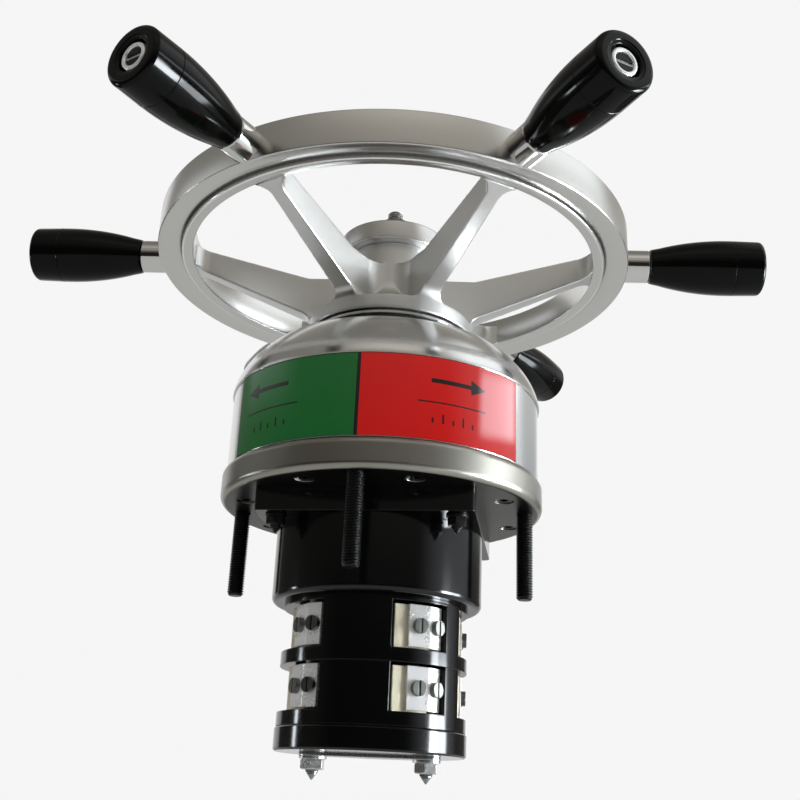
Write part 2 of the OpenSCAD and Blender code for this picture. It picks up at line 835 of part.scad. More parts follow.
module shaft_circlip() {
    gap_arc = 40;
    color("gray") rotate([0, 0, front + gap_arc / 2]) rotate_extrude(angle = 360 - gap_arc)
        translate([shaft_r - circlip_groove + fit_gap, circlip_top - circlip_h])
            square([circlip_w, circlip_h]);
}

// Centring gear

module centring_arm() {
    eye_r = shaft_r + 5;
    pin_r = 2;
    finger_low = spring_low - spring_wire;
    color("slategray") difference() {
        union() {
            translate([0, 0, arm_low]) cylinder(r = eye_r, h = arm_h);
            rotate([0, 0, front]) translate([0, -finger_r, arm_low])
                cube([finger_orbit, 2 * finger_r, arm_h]);
            rotate([0, 0, front]) translate([finger_orbit, 0, finger_low])
                cylinder(r = finger_r, h = arm_low + arm_h - finger_low);
        }
        translate([0, 0, arm_low - over]) cylinder(r = shaft_r + fit_gap, h = arm_h + 2 * over);
        translate([-eye_r - over, 0, arm_low + arm_h / 2]) rotate([0, 90, 0])
            cylinder(r = pin_r, h = eye_r);
    }
}

function unit(v) = v / norm(v);
function heading(line, i) = unit(line[min(i + 1, len(line) - 1)] - line[max(i - 1, 0)]);

// A round tube along a line that never stands upright
module tube(line, r, sides) {
    count = len(line);
    points = [for (i = [0:count - 1])
        let (ahead = heading(line, i), across = unit(cross(ahead, [0, 0, 1])), up = cross(across, ahead))
        for (k = [0:sides - 1]) line[i] + r * (cos(360 * k / sides) * across + sin(360 * k / sides) * up)];
    walls = [for (i = [0:count - 2], k = [0:sides - 1])
        let (a = i * sides + k, b = i * sides + (k + 1) % sides)
        each [[a, b, b + sides], [a, b + sides, a + sides]]];
    ends = [for (k = [1:sides - 2]) each [[0, k + 1, k],
        [(count - 1) * sides, (count - 1) * sides + k, (count - 1) * sides + k + 1]]];
    polyhedron(points, concat(walls, ends));
}

module return_spring() {
    color("lightslategray") tube(spring_line, spring_wire / 2, 6);
}

module spring_post() {
    color("gray") at_post() cylinder(r = finger_r, h = pin_seat + spring_top + spring_wire - flange_h);
}

module stop_pins() {
    color("gray") at_stops() cylinder(r = finger_r, h = pin_seat + spring_top - flange_h);
}

// Switch

module switch_base_plate() {
    corner_r = 3;
    color("black") difference() {
        translate([-plate_w / 2, -plate_w / 2, -plate_h])
            linear_extrude(plate_h) rounded_rect(plate_w, plate_w, corner_r);
        translate([0, 0, -plate_h - over]) cylinder(r = coupling_r + bush_wall, h = plate_h + 2 * over);
        at_plate_screws() translate([0, 0, -plate_h - over])
            cylinder(d = plate_screw_d + 2 * fit_gap, h = plate_h + 2 * over);
        at_rods() translate([0, 0, -plate_h - over])
            cylinder(d = rod_d + 2 * fit_gap, h = plate_h - rod_cover + over);
    }
}

module plate_screws() {
    point = 2.5;
    low = -plate_h - plate_washer_h - plate_nut_h - plate_screw_tip;
    color("dimgray") at_plate_screws() rotate_extrude() polygon([
        [0, plate_screw_seat], [plate_screw_d / 2, plate_screw_seat], [plate_screw_d / 2, low],
        [0.4, low - point], [0, low - point]
    ]);
}

module plate_nuts() {
    color("dimgray") at_plate_screws() {
        ring(plate_screw_d, plate_screw_d / 2 + fit_gap, -plate_h - plate_washer_h, plate_washer_h);
        translate([0, 0, -plate_h - plate_washer_h])
            hex_nut(plate_nut_flats, plate_screw_d / 2, -plate_nut_h, plate_nut_h + eps);
    }
}

module at_rods() {
    for (side = [-1, 1]) translate([side * rod_span / 2, 0, 0]) children();
}

module switch_drum() {
    floor_t = 5;
    edge_r = 2.5;
    color("black") difference() {
        rotate_extrude() polygon(concat(
            [[journal_r + run_gap, drum_low + floor_t], [drum_r - drum_wall, drum_low + floor_t]],
            [[drum_r - drum_wall, drum_top], [drum_r, drum_top]],
            arc_points(drum_r - edge_r, drum_low + edge_r, edge_r, 0, -90, 5),
            [[journal_r + run_gap, drum_low]]
        ));
        at_rods() translate([0, 0, drum_low - over])
            cylinder(d = rod_d + 2 * fit_gap, h = floor_t + 2 * over);
    }
}

module shaft_coupling() {
    square_hole = square_w + 2 * fit_gap;
    color("gray") difference() {
        translate([0, 0, coupling_low]) cylinder(r = coupling_r, h = coupling_h);
        translate([-coupling_r - over, -tongue_w / 2 - fit_gap, tongue_top - tongue_h - fit_gap])
            cube([2 * coupling_r + 2 * over, tongue_w + 2 * fit_gap, tongue_h + 2]);
        translate([-square_hole / 2, -square_hole / 2, coupling_low - over])
            cube([square_hole, square_hole, square_top + fit_gap - coupling_low + over]);
    }
}

module switch_spindle() {
    cap_journal = cap_h - 4;
    drum_journal = tier_lid_h + 8;
    square_low = cap_high + pass_gap;
    color("silver") {
        translate([-square_w / 2, -square_w / 2, square_low])
            cube([square_w, square_w, square_top - square_low]);
        translate([0, 0, tier_top]) cylinder(r = journal_r, h = drum_journal);
        translate([0, 0, cap_high - cap_journal])
            cylinder(r = cap_journal_r, h = cap_journal + pass_gap + over);
    }
}

module contact_cams() {
    cam_h = 0.45 * window_h;
    cam_r = chamber_r - 2;
    waist = 0.65 * cam_r;
    square_hole = square_w + 2 * fit_gap;
    first_low = tier_top - window_h / 2 - cam_h / 2;
    color("tan") for (i = [0:1]) translate([0, 0, first_low - i * tier_h]) difference() {
        intersection() {
            cylinder(r = cam_r, h = cam_h);
            translate([-cam_r, -waist, 0]) cube([2 * cam_r, 2 * waist, cam_h]);
        }
        translate([-square_hole / 2, -square_hole / 2, -over])
            cube([square_hole, square_hole, cam_h + 2 * over]);
    }
}

module at_terminals(top) {
    for (a = terminal_at) rotate([0, 0, front + a]) translate([0, 0, top - window_h]) children();
}

// The two screws of a terminal, each with its own X outward from the terminal plate's inner face
module at_clamp_screws() {
    translate([terminal_x, clamp_y, window_h / 2]) children();
    translate([terminal_x + terminal_t, terminal_w / 2, window_h / 2]) rotate([0, 0, wing_angle])
        translate([-terminal_t, wing_w / 2, 0]) children();
}

// The windows of a tier, two in each half, leave a wide and a narrow pillar between them
module windows(top, h) {
    for (half = [front, front + 180]) {
        window(half + wide_at + pillar_wide / 2, half + narrow_at - pillar_narrow / 2, top, h);
        window(half + narrow_at + pillar_narrow / 2, half + wide_at + 180 - pillar_wide / 2, top, h);
    }
}

module window(from, to, top, h) {
    rotate([0, 0, from]) rotate_extrude(angle = to - from)
        translate([core_r, top - window_h]) square([tier_r - core_r + over, h]);
}

// One tier of the switch: a drum cut by windows, with a chamber for its cam. A lid may close the windows.
module tier(top, lid_h) {
    color("black") difference() {
        translate([0, 0, top - tier_h]) cylinder(r = tier_r, h = tier_h + lid_h);
        windows(top, lid_h > 0 ? window_h : window_h + over);
        translate([0, 0, top - window_h]) cylinder(r = chamber_r, h = window_h - chamber_lid);
        translate([0, 0, top - tier_h - over]) {
            cylinder(r = journal_r + pass_gap, h = tier_h + lid_h + 2 * over);
            at_rods() cylinder(d = rod_d + 2 * fit_gap, h = tier_h + lid_h + 2 * over);
        }
        at_terminals(top) at_clamp_screws() translate([-terminal_screw_in - fit_gap, 0, 0])
            rotate([0, 90, 0]) cylinder(r = terminal_screw_r + fit_gap, h = terminal_screw_in);
    }
}

module upper_tier() {
    tier(tier_top, tier_lid_h);
}

module lower_tier() {
    tier(tier_top - tier_h, 0);
}

module at_all_terminals() {
    for (i = [0:1]) at_terminals(tier_top - i * tier_h) children();
}

module terminal_plates() {
    color("tan") at_all_terminals() difference() {
        union() {
            translate([terminal_x, -terminal_w / 2, 0]) cube([terminal_t, terminal_w, terminal_h]);
            translate([core_r + pass_gap, -tongue_half, 0])
                cube([terminal_x - core_r, 2 * tongue_half, terminal_t]);
        }
        at_clamp_screws() translate([-over, 0, 0]) rotate([0, 90, 0])
            cylinder(r = terminal_screw_r + fit_gap, h = terminal_t + 2 * over);
    }
}

// Top view of a clamp: a strip bent once, with its inner corner at the origin
module clamp_plan() {
    bend = [sin(wing_angle), cos(wing_angle)];
    polygon([
        [0, -clamp_w], [terminal_t, -clamp_w], [terminal_t, terminal_t * tan(wing_angle / 2)],
        [terminal_t * bend[1] - wing_w * bend[0], terminal_t * bend[0] + wing_w * bend[1]],
        [-wing_w * bend[0], wing_w * bend[1]], [0, 0]
    ]);
}

// A clamp lies on the terminal plate, and its wing bends back beside it
module terminal_clamps() {
    color("silver") at_all_terminals() difference() {
        translate([terminal_x + terminal_t, terminal_w / 2, window_h / 2 - clamp_h / 2])
            linear_extrude(clamp_h) clamp_plan();
        at_clamp_screws() rotate([0, 90, 0]) cylinder(r = terminal_screw_r + fit_gap, h = 3 * terminal_t);
    }
}

module terminal_screws() {
    head_x = 2 * terminal_t;
    slot_w = 0.9;
    color("silver") at_all_terminals() at_clamp_screws() difference() {
        union() {
            translate([-terminal_screw_in, 0, 0]) rotate([0, 90, 0])
                cylinder(r = terminal_screw_r, h = terminal_screw_in + head_x + eps);
            translate([head_x, 0, 0]) rotate([0, 90, 0]) cylinder(r = terminal_head_r, h = terminal_head_h);
        }
        translate([head_x + terminal_head_h / 2, -slot_w / 2, -terminal_head_r - over])
            cube([terminal_head_h, slot_w, 2 * terminal_head_r + 2 * over]);
    }
}

module bottom_cap() {
    edge = 0.8;
    floor_t = 3.5;
    cap_r = cap_d / 2;
    color("black") difference() {
        rotate_extrude() polygon([
            [0, cap_low], [cap_r - edge, cap_low], [cap_r, cap_low + edge],
            [cap_r, cap_high - edge], [cap_r - edge, cap_high], [0, cap_high]
        ]);
        translate([0, 0, cap_low + floor_t]) cylinder(r = cap_journal_r + run_gap, h = cap_h);
        at_rods() translate([0, 0, cap_low - over]) cylinder(d = rod_d + 2 * fit_gap, h = cap_h + 2 * over);
    }
}

module end_strap() {
    strap_w = 2.2 * rod_d;
    color("silver") difference() {
        translate([-rod_span / 2, -strap_w / 2, cap_low - strap_h]) cube([rod_span, strap_w, strap_h]);
        at_rods() translate([0, 0, cap_low - strap_h - over])
            cylinder(d = rod_d + 2 * fit_gap, h = strap_h + 2 * over);
    }
    color("silver") at_rods() ring(strap_w / 2, rod_d / 2 + fit_gap, cap_low - strap_h, strap_h);
}

module tie_rods() {
    top = -rod_cover - pass_gap;
    point_r = 0.3;
    color("silver") at_rods() rotate_extrude() polygon([
        [0, top], [rod_d / 2, top], [rod_d / 2, rod_low + rod_point], [point_r, rod_low], [0, rod_low]
    ]);
}

module rod_washers() {
    washer_r = 1.08 * rod_d;
    color("silver") at_rods()
        ring(washer_r, rod_d / 2 + fit_gap, cap_low - strap_h - rod_washer_h, rod_washer_h);
}

module rod_nuts() {
    color("silver") at_rods()
        hex_nut(rod_nut_flats, rod_d / 2, cap_low - strap_h - rod_washer_h - rod_nut_h, rod_nut_h);
}

wheel();
hub_cap();
hub_washer();
hub_nut();
steering_shaft();
shaft_key();
handle_ferrules();
handle_spindles();
grip(0);  // grip_1
grip(1);  // grip_2
grip(2);  // grip_3
grip(3);  // grip_4
grip(4);  // grip_5
grip(5);  // grip_6
dome_housing();
shaft_seal();
seal_washer();
label_green();
label_red();
label_strip();
mounting_flange();
mounting_studs();
housing_screws();
upper_bush();
lower_bush();
shaft_circlip();
centring_arm();
return_spring();
spring_post();
stop_pins();
switch_base_plate();
plate_screws();
plate_nuts();
switch_drum();
shaft_coupling();
switch_spindle();
contact_cams();
upper_tier();
lower_tier();
terminal_plates();
terminal_clamps();
terminal_screws();
bottom_cap();
end_strap();
tie_rods();
rod_washers();
rod_nuts();
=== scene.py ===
import math

import bmesh
import bpy
from mathutils import Matrix, Vector


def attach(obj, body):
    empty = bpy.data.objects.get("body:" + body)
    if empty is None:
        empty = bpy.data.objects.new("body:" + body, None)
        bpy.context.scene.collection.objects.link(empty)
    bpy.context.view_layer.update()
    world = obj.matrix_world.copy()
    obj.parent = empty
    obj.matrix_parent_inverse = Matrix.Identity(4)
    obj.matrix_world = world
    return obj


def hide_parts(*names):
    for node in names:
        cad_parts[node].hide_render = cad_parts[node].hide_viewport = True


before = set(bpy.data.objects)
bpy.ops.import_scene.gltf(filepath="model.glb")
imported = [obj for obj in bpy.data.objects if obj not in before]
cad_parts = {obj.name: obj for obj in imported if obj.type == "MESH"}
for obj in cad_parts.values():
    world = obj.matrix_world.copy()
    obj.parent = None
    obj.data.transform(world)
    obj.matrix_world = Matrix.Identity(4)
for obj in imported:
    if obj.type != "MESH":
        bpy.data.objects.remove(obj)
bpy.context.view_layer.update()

scene = bpy.context.scene
scene.view_settings.view_transform = "Standard"
mm = 0.001

# Camera
# The helm is seen from below its panel, a little to the right of the front mark.
# A short tele lens stands half a metre away and tilts up to the wheel.
camera_place = (0.08636, -0.51059, -0.13457)
camera_turn, camera_tilt, camera_roll = 8.83, 110.74, 2.52
camera = bpy.data.objects.new("camera", bpy.data.cameras.new("camera"))
camera.data.lens = 48.08
camera.data.sensor_width = 36.0
camera.data.clip_start = 0.01
camera.matrix_world = (
    Matrix.Translation(camera_place)
    @ Matrix.Rotation(math.radians(camera_turn), 4, "Z")
    @ Matrix.Rotation(math.radians(camera_tilt), 4, "X")
    @ Matrix.Rotation(math.radians(camera_roll), 4, "Z")
)
scene.collection.objects.link(camera)
scene.camera = camera


# Mounting flange
# A thick disc of aluminium that sits on the panel, turned on a lathe. Its downward faces are coloured
# near-black: painted shade.
# Screws from below hold the housing on it, and four studs go through the panel.
def shader_group(name, inputs, outputs):
    group = bpy.data.node_groups.new(name, "ShaderNodeTree")
    for label, kind, value in inputs:
        group.interface.new_socket(label, in_out="INPUT", socket_type=kind).default_value = value
    for label, kind in outputs:
        group.interface.new_socket(label, in_out="OUTPUT", socket_type=kind)
    return group, group.nodes.new("NodeGroupInput"), group.nodes.new("NodeGroupOutput")


def put(tree, kind, values=None, **settings):
    made = tree.nodes.new(kind)
    for key, value in settings.items():
        setattr(made, key, value)
    for key, value in (values or {}).items():
        if isinstance(value, bpy.types.NodeSocket):
            tree.links.new(value, made.inputs[key])
        else:
            made.inputs[key].default_value = value
    return made


def calc(tree, operation, first, second=0.0):
    return put(tree, "ShaderNodeMath", {0: first, 1: second}, operation=operation).outputs[0]


def object_point(tree):
    return put(tree, "ShaderNodeTexCoord").outputs["Object"]


def split(tree, vector):
    return put(tree, "ShaderNodeSeparateXYZ", {0: vector}).outputs


def axis_reach(tree, x, y):
    return calc(tree, "SQRT", calc(tree, "ADD", calc(tree, "MULTIPLY", x, x), calc(tree, "MULTIPLY", y, y)))


def mix_colours(tree, factor, first, second, blend="MIX"):
    # A Mix node takes its two colours at sockets 6 and 7 and gives the result at socket 2.
    made = put(tree, "ShaderNodeMix", {0: factor, 6: first, 7: second}, data_type="RGBA", blend_type=blend)
    return made.outputs[2]


# Fine grain with broad mottling: what casting, blasting, moulding or plating leaves on a surface.
grain_group, g_in, g_out = shader_group(
    "surface_grain",
    [("Colour", "NodeSocketColor", (1, 1, 1, 1)), ("Scale", "NodeSocketFloat", 900.0),
     ("Mottle", "NodeSocketFloat", 0.1), ("Roughness", "NodeSocketFloat", 0.3),
     ("Spread", "NodeSocketFloat", 0.1)],
    [("Colour", "NodeSocketColor"), ("Roughness", "NodeSocketFloat"), ("Height", "NodeSocketFloat")],
)
broad_ratio, broad_share, fine_share = 0.045, 0.7, 0.3
point = object_point(grain_group)
broad_scale = calc(grain_group, "MULTIPLY", g_in.outputs["Scale"], broad_ratio)
fine, broad = (put(grain_group, "ShaderNodeTexNoise",
                   {"Vector": point, "Scale": scale, "Detail": detail}).outputs[0]
               for scale, detail in ((g_in.outputs["Scale"], 4.0), (broad_scale, 5.0)))
tone = calc(grain_group, "ADD", calc(grain_group, "MULTIPLY", broad, broad_share),
            calc(grain_group, "MULTIPLY", fine, fine_share))
tone = calc(grain_group, "SUBTRACT", tone, 0.5)
shade = calc(grain_group, "ADD", calc(grain_group, "MULTIPLY", tone, g_in.outputs["Mottle"]), 1.0)
grey = put(grain_group, "ShaderNodeCombineColor", {"Red": shade, "Green": shade, "Blue": shade}).outputs[0]
mottled = mix_colours(grain_group, 1.0, g_in.outputs["Colour"], grey, "MULTIPLY")
uneven = calc(grain_group, "MULTIPLY", tone, g_in.outputs["Spread"])
grain_group.links.new(mottled, g_out.inputs["Colour"])
grain_group.links.new(calc(grain_group, "ADD", g_in.outputs["Roughness"], uneven), g_out.inputs["Roughness"])
grain_group.links.new(fine, g_out.inputs["Height"])

# Fine rings that a lathe tool leaves around the shaft's line.
ring_group, r_in, r_out = shader_group(
    "lathe_rings", [("Spacing", "NodeSocketFloat", 2500.0)], [("Height", "NodeSocketFloat")])
x, y, z = split(ring_group, object_point(ring_group))
groove_line = put(ring_group, "ShaderNodeCombineXYZ", {
    0: calc(ring_group, "MULTIPLY", axis_reach(ring_group, x, y), r_in.outputs["Spacing"]),
    1: calc(ring_group, "MULTIPLY", z, r_in.outputs["Spacing"]),
    2: calc(ring_group, "ARCTAN2", y, x)})
grooves = put(ring_group, "ShaderNodeTexNoise", {"Vector": groove_line.outputs[0], "Scale": 1.0, "Detail": 2.0})
ring_group.links.new(grooves.outputs[0], r_out.inputs["Height"])

# Worn corners: the normal of an edge that is rounded a little.
edge_group, e_in, e_out = shader_group(
    "broken_edges", [("Radius", "NodeSocketFloat", 0.0004)], [("Normal", "NodeSocketVector")])
edge = put(edge_group, "ShaderNodeBevel", {"Radius": e_in.outputs["Radius"]}, samples=4)
edge_group.links.new(edge.outputs[0], e_out.inputs["Normal"])


def press(tree, relief, depth):
    normal = tree.nodes["Principled BSDF"].inputs["Normal"]
    bump = put(tree, "ShaderNodeBump", {"Strength": 1.0, "Distance": depth * mm, "Height": relief,
                                        "Normal": normal.links[0].from_socket})
    tree.links.new(bump.outputs[0], normal)


def new_finish(name, colour, metallic, roughness, grain=900.0, depth=0.02, mottle=0.1, spread=0.1,
               edge_mm=0.4, rings=0.0, **shader_values):
    made = bpy.data.materials.new(name)
    made.use_nodes = True
    tree = made.node_tree
    shader = tree.nodes["Principled BSDF"]
    shader.inputs["Metallic"].default_value = metallic
    for key, value in shader_values.items():
        shader.inputs[key.replace("_", " ")].default_value = value
    surface = put(tree, "ShaderNodeGroup", node_tree=grain_group, name="surface")
    surface.inputs["Colour"].default_value = (*colour, 1.0)
    surface.inputs["Scale"].default_value = grain
    surface.inputs["Mottle"].default_value = mottle
    surface.inputs["Roughness"].default_value = roughness
    surface.inputs["Spread"].default_value = spread
    tree.links.new(surface.outputs["Colour"], shader.inputs["Base Color"])
    tree.links.new(surface.outputs["Roughness"], shader.inputs["Roughness"])
    corner = put(tree, "ShaderNodeGroup", node_tree=edge_group)
    corner.inputs["Radius"].default_value = edge_mm * mm
    tree.links.new(corner.outputs["Normal"], shader.inputs["Normal"])
    press(tree, surface.outputs["Height"], depth)
    if rings:
        press(tree, put(tree, "ShaderNodeGroup", node_tree=ring_group).outputs["Height"], rings)
    return made


def tint(tree, mask, colour):
    base = tree.nodes["Principled BSDF"].inputs["Base Color"]
    tree.links.new(mix_colours(tree, mask, base.links[0].from_socket, (*colour, 1.0)), base)


def dress(material, *names):
    for name in names:
        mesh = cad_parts[name].data
        mesh.materials.clear()
        mesh.materials.append(material)


flange_aluminium = new_finish("flange_aluminium", (0.35, 0.34, 0.30), 1.0, 0.32, grain=700, depth=0.006,
                              mottle=0.12, spread=0.1, edge_mm=0.6, rings=0.006)
tree = flange_aluminium.node_tree
# Faces that point straight down turn near-black: painted shade under the flange.
facing = split(tree, put(tree, "ShaderNodeTexCoord").outputs["Normal"])[2]
painted_shade_underside = put(tree, "ShaderNodeMapRange", {"Value": facing, "From Min": -0.90, "From Max": -0.99})
tint(tree, painted_shade_underside.outputs[0], (0.030, 0.029, 0.026))
dress(flange_aluminium, "mounting_flange")


# Mounting studs
# Four steel studs with a rolled thread all along, blackened in an oxide bath.
# They are screwed into the flange, and nuts below the panel pull on them.
def screw_mesh(work, place, radius, pitch, depth, low, high, chamfer, steps=28):
    tip = radius - chamfer
    # One pitch of the thread: a flat root, a flank and a flat crest, as (share of the pitch, drop).
    profile = ((0.0, -depth), (0.22, -depth), (0.5, 0.0), (0.72, 0.0))
    count = int(math.ceil((high - low) / pitch + 2) * steps)
    rows = []
    for i in range(count + 1):
        angle = math.tau * i / steps
        row = []
        for part, drop in profile:
            z = min(max(low + pitch * (i / steps - 1 + part), low), high)
            r = min(radius + drop, tip + (z - low))
            row.append(work.verts.new(place @ Vector((r * math.cos(angle), r * math.sin(angle), z))))
        rows.append(row)
    for i in range(count):
        for j in range(3):
            work.faces.new((rows[i][j], rows[i + 1][j], rows[i + 1][j + 1], rows[i][j + 1]))
        if i + steps + 1 <= count:
            work.faces.new((rows[i][3], rows[i + 1][3], rows[i + steps + 1][0], rows[i + steps][0]))
    for z, r in ((low, tip), (high, radius - depth)):
        ring = [work.verts.new(place @ Vector((r * math.cos(math.tau * k / steps),
                                               r * math.sin(math.tau * k / steps), z))) for k in range(steps)]
        work.faces.new(ring if z == high else ring[::-1])


def make_piece(name, work, material, body, slot, *nodes, sharp=35.0):
    bmesh.ops.remove_doubles(work, verts=work.verts, dist=2e-6)
    bmesh.ops.recalc_face_normals(work, faces=work.faces)
    mesh = bpy.data.meshes.new(name)
    work.to_mesh(mesh)
    work.free()
    mesh.shade_smooth()
    if sharp:
        mesh.set_sharp_from_angle(angle=math.radians(sharp))
    mesh.materials.append(material)
    piece = bpy.data.objects.new(name, mesh)
    scene.collection.objects.link(piece)
    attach(piece, body)
    if nodes:
        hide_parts(*nodes)
    return piece


black_steel = new_finish("black_steel", (0.009, 0.009, 0.009), 0.6, 0.36, grain=1500, depth=0.006,
                         mottle=0.5, spread=0.25, edge_mm=0.2)
stud_count, stud_circle_r = 4, 71 * mm
studs = bmesh.new()
for i in range(stud_count):
    stud_turn = Matrix.Rotation(i * math.tau / stud_count, 4, "Z")
    stud_place = stud_turn @ Matrix.Translation((0, -stud_circle_r, 0))
    screw_mesh(studs, stud_place, radius=4 * mm, pitch=1.25 * mm, depth=0.66 * mm, low=-41.5 * mm, high=0.0,
               chamfer=1 * mm)
make_piece("stud_threads", studs, black_steel, "housing", "black_steel", "mounting_studs", sharp=25.0)
dress(black_steel, "housing_screws")

# Shaft, bushes and return gear
# A ground steel shaft runs in two bronze bushes. Inside the housing an arm on the shaft works
# a coiled spring against a post, and two pins stop the arm at each end of its travel.
stainless = new_finish("stainless", (0.60, 0.595, 0.58), 1.0, 0.27, grain=1200, depth=0.004, mottle=0.08)
bronze = new_finish("bronze", (0.52, 0.33, 0.13), 1.0, 0.36, grain=1600, depth=0.01, mottle=0.25, spread=0.2)
spring_steel = new_finish("spring_steel", (0.30, 0.31, 0.33), 1.0, 0.32, grain=1100, depth=0.004, mottle=0.2)
dark_steel = new_finish("dark_steel", (0.17, 0.175, 0.16), 1.0, 0.34, grain=1300, depth=0.006, mottle=0.3,
                        spread=0.2)
dress(bronze, "upper_bush", "lower_bush")
dress(spring_steel, "return_spring")
dress(dark_steel, "centring_arm", "spring_post", "stop_pins", "shaft_circlip", "shaft_key")

# A thread pressed into a surface: a helix round an upright axis, or round its mirror images in X and Y, with a
# mask of its grooves for painted shade.
thread_group, t_in, t_out = shader_group(
    "screw_thread",
    [("Axis X", "NodeSocketFloat", 0.0), ("Axis Y", "NodeSocketFloat", 0.0),
     ("Pitch", "NodeSocketFloat", 0.00125), ("Low", "NodeSocketFloat", 0.0), ("High", "NodeSocketFloat", 1.0)],
    [("Height", "NodeSocketFloat"), ("Groove shade", "NodeSocketFloat")])
x, y, z = split(thread_group, object_point(thread_group))
side_x, side_y = (calc(thread_group, "SUBTRACT", calc(thread_group, "ABSOLUTE", at), t_in.outputs[axis])
                  for at, axis in ((x, "Axis X"), (y, "Axis Y")))
lead = calc(thread_group, "DIVIDE", calc(thread_group, "ARCTAN2", side_y, side_x), math.tau)
turns = calc(thread_group, "SUBTRACT", calc(thread_group, "DIVIDE", z, t_in.outputs["Pitch"]), lead)
within = calc(thread_group, "MULTIPLY", calc(thread_group, "GREATER_THAN", z, t_in.outputs["Low"]),
              calc(thread_group, "LESS_THAN", z, t_in.outputs["High"]))
wave = calc(thread_group, "MULTIPLY", calc(thread_group, "PINGPONG", turns, 0.5), 2.0)
wave = calc(thread_group, "MULTIPLY", wave, within)
thread_group.links.new(wave, t_out.inputs["Height"])
thread_group.links.new(calc(thread_group, "SUBTRACT", within, wave), t_out.inputs["Groove shade"])


def add_thread(material, axis, pitch, low, high, depth):
    tree = material.node_tree
    thread = put(tree, "ShaderNodeGroup", node_tree=thread_group)
    sizes = {"Axis X": axis[0], "Axis Y": axis[1], "Pitch": pitch, "Low": low, "High": high}
    for key, value in sizes.items():
        thread.inputs[key].default_value = value * mm
    press(tree, thread.outputs["Height"], depth)
    # The thread's grooves are darkened in colour: painted shade.
    tint(tree, calc(tree, "MULTIPLY", thread.outputs["Groove shade"], 0.75), (0.03, 0.03, 0.025))


# The shaft's upper end carries the thread for the nut on the cap.
shaft_steel = stainless.copy()
shaft_steel.name = "shaft_steel"
add_thread(shaft_steel, axis=(0, 0), pitch=1.25, low=157, high=171, depth=0.5)
dress(shaft_steel, "steering_shaft")


# Housing
# A cast aluminium bell, turned outside: an upright wall, a rounded shoulder and a flat top.
# It is screwed to the flange from below, and a lip of the shoulder covers the label's upper edge.
def rounded(corners, steps=7):
    # Each corner is (radius, height, rounding) in mm, here and in the outlines below.
    points = []
    for i, (x, y, r) in enumerate(corners):
        here = Vector((x, y))
        back = Vector(corners[i - 1][:2]) - here
        ahead = Vector(corners[(i + 1) % len(corners)][:2]) - here
        if r <= 0:
            points.append(here)
            continue
        half = back.angle(ahead) / 2
        run = min(r / math.tan(half), 0.49 * back.length, 0.49 * ahead.length)
        r = run * math.tan(half)
        middle = here + (back.normalized() + ahead.normalized()).normalized() * r / math.sin(half)
        first = here + back.normalized() * run - middle
        last = here + ahead.normalized() * run - middle
        sweep = first.angle_signed(last)
        for k in range(steps + 1):
            bend = -sweep * k / steps
            points.append(middle + Vector((first.x * math.cos(bend) - first.y * math.sin(bend),
                                           first.x * math.sin(bend) + first.y * math.cos(bend))))
    return points


def turned(work, outline, place=Matrix.Identity(4), steps=144):
    rows = []
    for point in outline:
        if point.x < 1e-6:
            rows.append([work.verts.new(place @ Vector((0, 0, point.y * mm)))] * steps)
        else:
            rows.append([work.verts.new(place @ Vector((
                point.x * mm * math.cos(math.tau * k / steps), point.x * mm * math.sin(math.tau * k / steps),
                point.y * mm))) for k in range(steps)])
    for a, b in zip(rows, rows[1:] + rows[:1]):
        for k in range(steps):
            ring = [a[k], a[(k + 1) % steps], b[(k + 1) % steps], b[k]]
            corners = [v for i, v in enumerate(ring) if v not in ring[:i]]
            if len(corners) > 2:
                work.faces.new(corners)


def steps_between(a, b, count):
    return [a + (b - a) * i / count for i in range(count + 1)]


def curve(start, guide, end, count):
    return [tuple(a * (1 - t) ** 2 + 2 * b * t * (1 - t) + c * t * t for a, b, c in zip(start, guide, end))
            for t in steps_between(0, 1, count)]


housing_aluminium = new_finish("housing_aluminium", (0.70, 0.70, 0.69), 1.0, 0.20, grain=500, depth=0.003,
                               mottle=0.05, spread=0.06, edge_mm=0.2, rings=0.004)
wall_r, lip_r, top_r, bore_r = 77.5, 78.3, 60, 11.03
base_z, lip_z, top_z = 15, 54.6, 80.5
foot_r, inside_r, roof_r, boss_r = 60, 73, 57.2, 16
foot_z, inside_z, roof_z, boss_z = 25, 60.4, 75.5, 58.5
shoulder = curve((lip_r, 55.1), (76.6, 68.3), (61.5, 80.2), 20)
bell_outline = [(foot_r, base_z, 0), (wall_r, base_z, 0.3), (wall_r, lip_z, 0.1), (lip_r, lip_z + 0.05, 0.3)]
bell_outline += [(r, z, 0) for r, z in shoulder]
bell_outline += [(top_r, top_z, 0), (bore_r, top_z, 0.4), (bore_r, boss_z, 0.3), (boss_r, boss_z, 1),
                 (boss_r, roof_z, 3), (roof_r, roof_z, 3), (inside_r, inside_z, 3), (inside_r, foot_z, 1),
                 (foot_r, foot_z, 1)]
bell = bmesh.new()
turned(bell, rounded(bell_outline, 10), steps=192)
make_piece("housing_bell", bell, housing_aluminium, "housing", "turned_aluminium", "dome_housing", sharp=40.0)

# Seal under the hub
# A ring of black rubber on the flat top keeps spray out of the bearing.
# A thin steel washer covers it, with a running gap to the hub.
black_rubber = new_finish("black_rubber", (0.012, 0.012, 0.012), 0.0, 0.62, grain=2600, depth=0.03,
                          mottle=0.6, spread=0.25, edge_mm=0.5)
dress(black_rubber, "shaft_seal")
dress(stainless, "seal_washer")


# Label plates
# Two coloured plastic films and a black strip between them, glued round the front of the wall.
# Plain arrows and lines are printed on them in black and show the two ways to turn.
def film(name, colour):
    return new_finish(name, colour, 0.0, 0.22, grain=260, depth=0.012, mottle=0.12, spread=0.08, edge_mm=0.2,
                      Coat_Weight=1.0, Coat_Roughness=0.03, Coat_IOR=1.5, Specular_IOR_Level=0.08)


